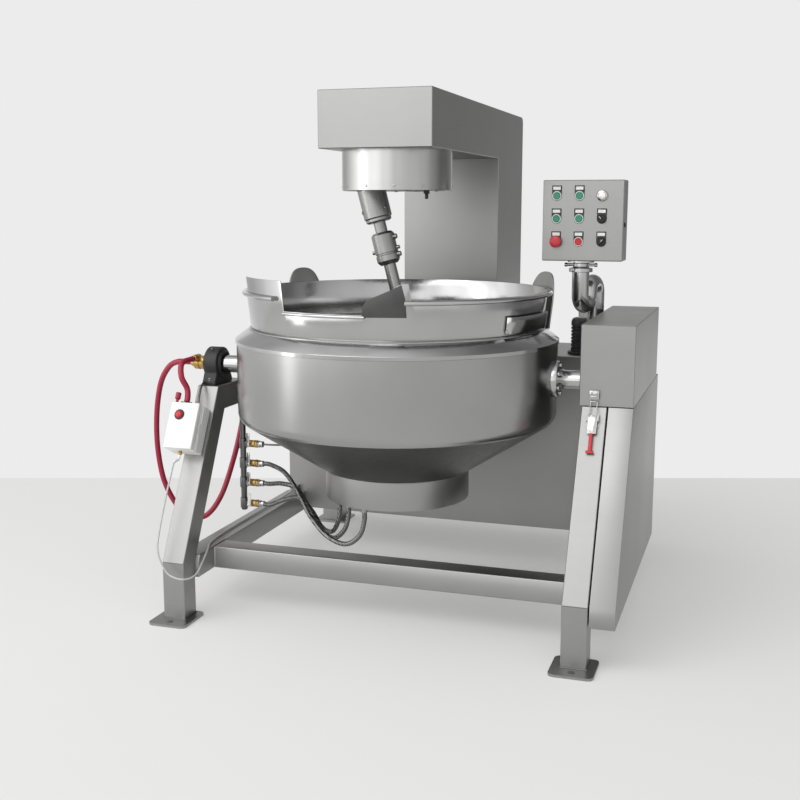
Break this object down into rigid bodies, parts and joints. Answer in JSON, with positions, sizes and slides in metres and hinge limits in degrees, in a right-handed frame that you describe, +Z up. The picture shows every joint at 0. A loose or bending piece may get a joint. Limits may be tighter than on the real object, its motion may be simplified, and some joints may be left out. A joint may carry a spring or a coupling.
{
  "type": "steam jacketed kettle",
  "caption": "Tilting steam jacketed kettle on a welded stand, with a planetary scraper mixer on a swing-back arm, a control pendant and a burner manifold.",
  "frame": {"origin": "on the floor under the middle of the machine's box, hoses left out", "axes": "+Z up, -Y towards the pouring side, +X towards the drive housing along the tilting axis"},
  "size_m": [1.7396, 1.6237, 1.712],
  "materials": {
    "brushed_stainless": "brushed",
    "polished_stainless": "polished",
    "cast_iron_black": "painted black",
    "brass": "turned",
    "red_rubber": "smooth",
    "braided_hose": "steel braid",
    "white_plastic": "satin",
    "green_plastic": "gloss",
    "red_plastic": "gloss",
    "black_plastic": "gloss",
    "scraper_plastic": "machined",
    "motor_paint": "satin"
  },
  "bodies": {
    "stand": {"left_leg": "brushed_stainless", "right_leg": "brushed_stainless", "base_frame": "brushed_stainless", "rear_cabinet": "brushed_stainless", "column_base": "brushed_stainless", "hinge_pin": "polished_stainless", "left_bearing": "cast_iron_black", "right_bearing": "cast_iron_black", "rotary_union": "brass", "ignition_box": "white_plastic", "upper_cover": "brushed_stainless", "side_cover": "brushed_stainless", "tilt_gearbox": "motor_paint", "pump_motor": "motor_paint", "filler_cap": "white_plastic", "pendant_post": "polished_stainless", "return_hose": "red_rubber", "feed_hose": "red_rubber", "ignition_cable": "white_plastic"},
    "head": {"arm_housing": "brushed_stainless", "mixer_drum": "polished_stainless", "mixer_motor": "motor_paint"},
    "carrier": {"carrier_disc": "polished_stainless", "upper_sleeve": "brushed_stainless"},
    "agitator": {"agitator_shaft": "brushed_stainless", "coupling_sleeve": "brushed_stainless", "scraper_blade": "scraper_plastic"},
    "bowl": {"inner_bowl": "polished_stainless", "outer_jacket": "brushed_stainless", "burner_chamber": "brushed_stainless", "splash_collar": "polished_stainless", "rim_bar": "polished_stainless", "notch_lip": "polished_stainless", "rear_lug": "polished_stainless", "right_lug": "polished_stainless", "left_trunnion": "polished_stainless", "right_trunnion": "polished_stainless", "burner_manifold": "brushed_stainless", "burner_hose_1": "braided_hose", "burner_hose_2": "braided_hose", "burner_hose_3": "braided_hose"},
    "lever_1": {"valve_lever_1": "polished_stainless"},
    "lever_2": {"valve_lever_2": "polished_stainless"},
    "lever_3": {"valve_lever_3": "polished_stainless"},
    "lever_4": {"valve_lever_4": "polished_stainless"},
    "ignition_push": {"ignition_button": "red_plastic"},
    "latch": {"latch_lever": "red_plastic"},
    "pendant": {"pendant_clamp": "polished_stainless", "pendant_box": "brushed_stainless", "pilot_lamp": "white_plastic"},
    "start_1": {"start_button_1": "green_plastic"},
    "start_2": {"start_button_2": "green_plastic"},
    "start_3": {"start_button_3": "green_plastic"},
    "start_4": {"start_button_4": "green_plastic"},
    "stop": {"stop_button": "red_plastic"},
    "emergency": {"emergency_stop": "red_plastic"},
    "switch_1": {"selector_1": "black_plastic"},
    "switch_2": {"selector_2": "black_plastic"}
  },
  "joints": [
    {"name": "bowl_tilt", "type": "hinge", "parent": "stand", "child": "bowl", "pos_m": [-0.01125, -0.282, 0.82], "axis": [1, 0, 0], "range_deg": [0, 84.5]},
    {"name": "head_tilt", "type": "hinge", "parent": "stand", "child": "head", "pos_m": [-0.01125, 0.796, 1.05], "axis": [-1, 0, 0], "range_deg": [0, 65]},
    {"name": "carrier_spin", "type": "hinge", "parent": "head", "child": "carrier", "pos_m": [-0.01125, -0.282, 1.41], "axis": [0, 0, 1], "continuous": true},
    {"name": "agitator_spin", "type": "hinge", "parent": "carrier", "child": "agitator", "pos_m": [-0.01125, -0.282, 1.075], "axis": [-0.2538, 0, 0.9673], "continuous": true},
    {"name": "lever_1_turn", "type": "hinge", "parent": "bowl", "child": "lever_1", "pos_m": [-0.55325, -0.302, 0.54], "axis": [0, 1, 0], "range_deg": [0, 90]},
    {"name": "lever_2_turn", "type": "hinge", "parent": "bowl", "child": "lever_2", "pos_m": [-0.55325, -0.302, 0.47], "axis": [0, 1, 0], "range_deg": [0, 90]},
    {"name": "lever_3_turn", "type": "hinge", "parent": "bowl", "child": "lever_3", "pos_m": [-0.55325, -0.302, 0.4], "axis": [0, 1, 0], "range_deg": [0, 90]},
    {"name": "lever_4_turn", "type": "hinge", "parent": "bowl", "child": "lever_4", "pos_m": [-0.55325, -0.302, 0.325], "axis": [0, 1, 0], "range_deg": [0, 90]},
    {"name": "ignition_press", "type": "slide", "parent": "stand", "child": "ignition_push", "axis": [0, 0.8899, -0.4562], "range_m": [0, 0.004], "stiffness_N_per_m": 400},
    {"name": "latch_swing", "type": "hinge", "parent": "stand", "child": "latch", "pos_m": [0.65375, -0.3816, 0.7207], "axis": [-1, 0, 0], "range_deg": [0, 110]},
    {"name": "pendant_swivel", "type": "hinge", "parent": "stand", "child": "pendant", "pos_m": [0.53375, 0.068, 1.14], "axis": [0, 0, 1], "range_deg": [-60, 60]},
    {"name": "start_1_press", "type": "slide", "parent": "pendant", "child": "start_1", "axis": [0, 1, 0], "range_m": [0, 0.004], "stiffness_N_per_m": 400},
    {"name": "start_2_press", "type": "slide", "parent": "pendant", "child": "start_2", "axis": [0, 1, 0], "range_m": [0, 0.004], "stiffness_N_per_m": 400},
    {"name": "start_3_press", "type": "slide", "parent": "pendant", "child": "start_3", "axis": [0, 1, 0], "range_m": [0, 0.004], "stiffness_N_per_m": 400},
    {"name": "start_4_press", "type": "slide", "parent": "pendant", "child": "start_4", "axis": [0, 1, 0], "range_m": [0, 0.004], "stiffness_N_per_m": 400},
    {"name": "stop_press", "type": "slide", "parent": "pendant", "child": "stop", "axis": [0, 1, 0], "range_m": [0, 0.004], "stiffness_N_per_m": 400},
    {"name": "emergency_press", "type": "slide", "parent": "pendant", "child": "emergency", "axis": [0, 1, 0], "range_m": [0, 0.004], "stiffness_N_per_m": 400},
    {"name": "switch_1_turn", "type": "hinge", "parent": "pendant", "child": "switch_1", "pos_m": [0.60675, 0.018, 1.32], "axis": [0, 1, 0], "range_deg": [0, 80]},
    {"name": "switch_2_turn", "type": "hinge", "parent": "pendant", "child": "switch_2", "pos_m": [0.60675, 0.018, 1.244], "axis": [0, 1, 0], "range_deg": [-80, 0]}
  ],
  "couplings": [
    {"joint": "head_tilt", "follows": "bowl_tilt", "ratio": 0.7692},
    {"joint": "agitator_spin", "follows": "carrier_spin", "ratio": -3}
  ]
}
